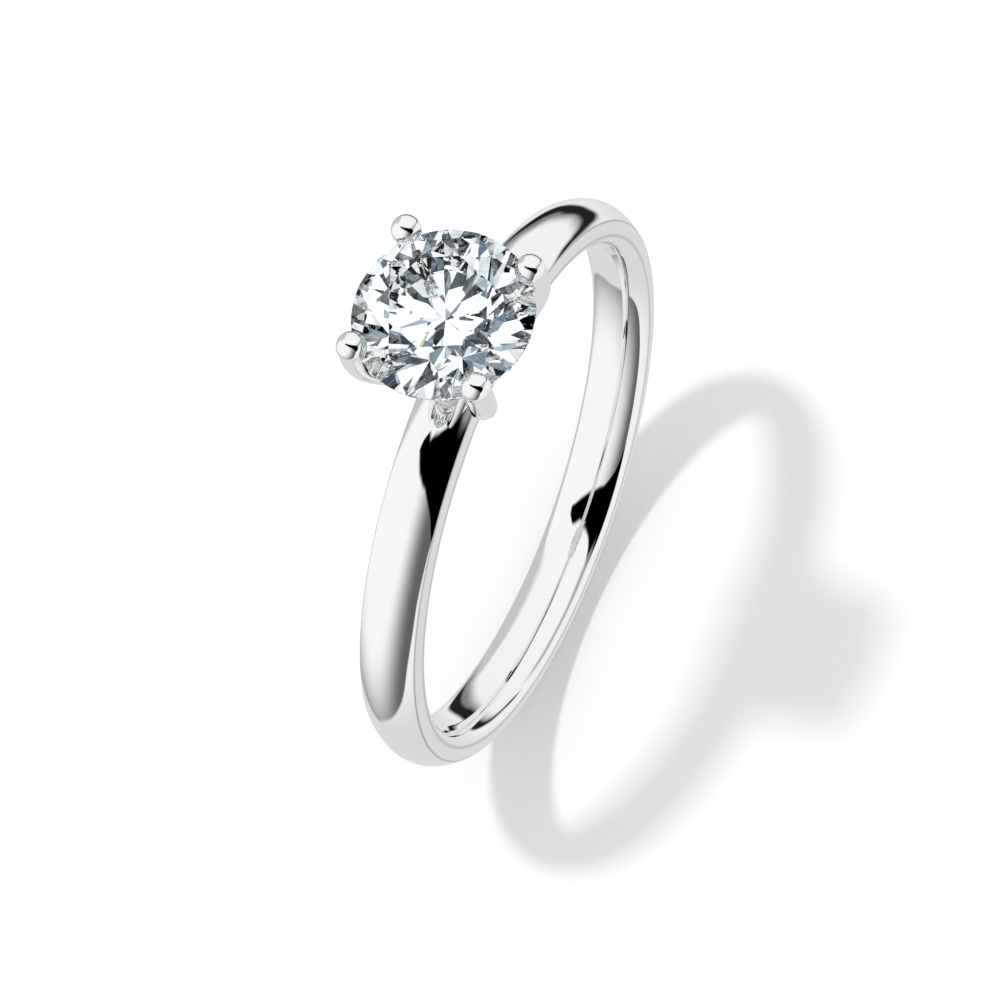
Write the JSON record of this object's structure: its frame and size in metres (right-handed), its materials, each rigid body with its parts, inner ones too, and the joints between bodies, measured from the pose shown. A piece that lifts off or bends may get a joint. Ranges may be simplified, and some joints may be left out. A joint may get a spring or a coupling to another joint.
{
  "type": "engagement ring",
  "caption": "Solitaire finger ring: a slim polished band with a domed back and a comfort-fit bore, and a tulip head whose ball-tipped claws hold a round brilliant stone.",
  "frame": {"origin": "centre of the finger's bore, on its axis and half way across the band", "axes": "+Z from the bore's centre up through the head to the stone's table, +Y along the bore's axis, +X in the plane of the band, along the band where the head stands on it"},
  "size_m": [0.0188, 0.0056, 0.0228],
  "materials": {
    "polished_platinum": "mirror-polished white precious metal",
    "diamond": "polished facets, colourless"
  },
  "bodies": {
    "root": {"shank": "polished_platinum", "head_seat": "polished_platinum", "gallery_rail": "polished_platinum", "claw_1": "polished_platinum", "claw_2": "polished_platinum", "claw_3": "polished_platinum", "claw_4": "polished_platinum", "diamond": "diamond"}
  },
  "joints": []
}
